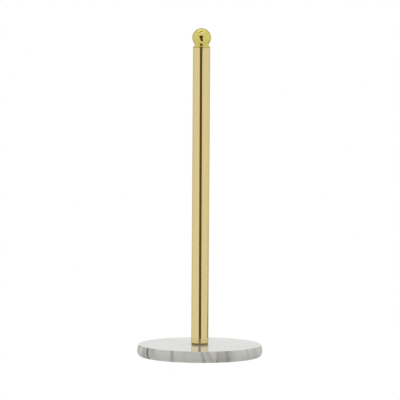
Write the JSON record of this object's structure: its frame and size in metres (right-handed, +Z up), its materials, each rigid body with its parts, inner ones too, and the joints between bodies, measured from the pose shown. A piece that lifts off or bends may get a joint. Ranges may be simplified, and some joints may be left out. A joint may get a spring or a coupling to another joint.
{
  "type": "paper towel holder",
  "caption": "Free-standing paper towel holder: a round marble base, a polished gold tube post that holds the roll, and a ball finial that screws off.",
  "frame": {"origin": "centre of the base on the plane that the feet stand on", "axes": "+Z up along the post; X and Y are interchangeable, with the feet on the diagonals between them"},
  "size_m": [0.138, 0.138, 0.3615],
  "materials": {
    "marble": "polished",
    "post_gold": "polished",
    "finial_brass": "polished",
    "plug_steel": "satin",
    "zinc_steel": "satin",
    "gasket_rubber": "matte",
    "washer_nylon": "satin",
    "foot_rubber": "matte"
  },
  "bodies": {
    "stand": {"marble_base": "marble", "post_gasket": "gasket_rubber", "post_tube": "post_gold", "foot_plug": "plug_steel", "cap_plug": "plug_steel", "base_bolt": "zinc_steel", "flat_washer": "zinc_steel", "lock_washer": "zinc_steel", "foot_1": "foot_rubber", "foot_2": "foot_rubber", "foot_3": "foot_rubber", "foot_4": "foot_rubber"},
    "finial_carrier": {"captive_washer": "washer_nylon"},
    "finial": {"ball_finial": "finial_brass", "finial_stud": "zinc_steel"}
  },
  "joints": [
    {"name": "finial_lift", "type": "slide", "parent": "stand", "child": "finial_carrier", "axis": [0, 0, 1], "range_m": [0, 0.009]},
    {"name": "finial_turn", "type": "hinge", "parent": "finial_carrier", "child": "finial", "pos_m": [0, 0, 0.3403], "axis": [0, 0, 1], "range_deg": [0, 3240]}
  ],
  "couplings": [
    {"joint": "finial_turn", "follows": "finial_lift", "rad_per_m": 6283.1}
  ]
}
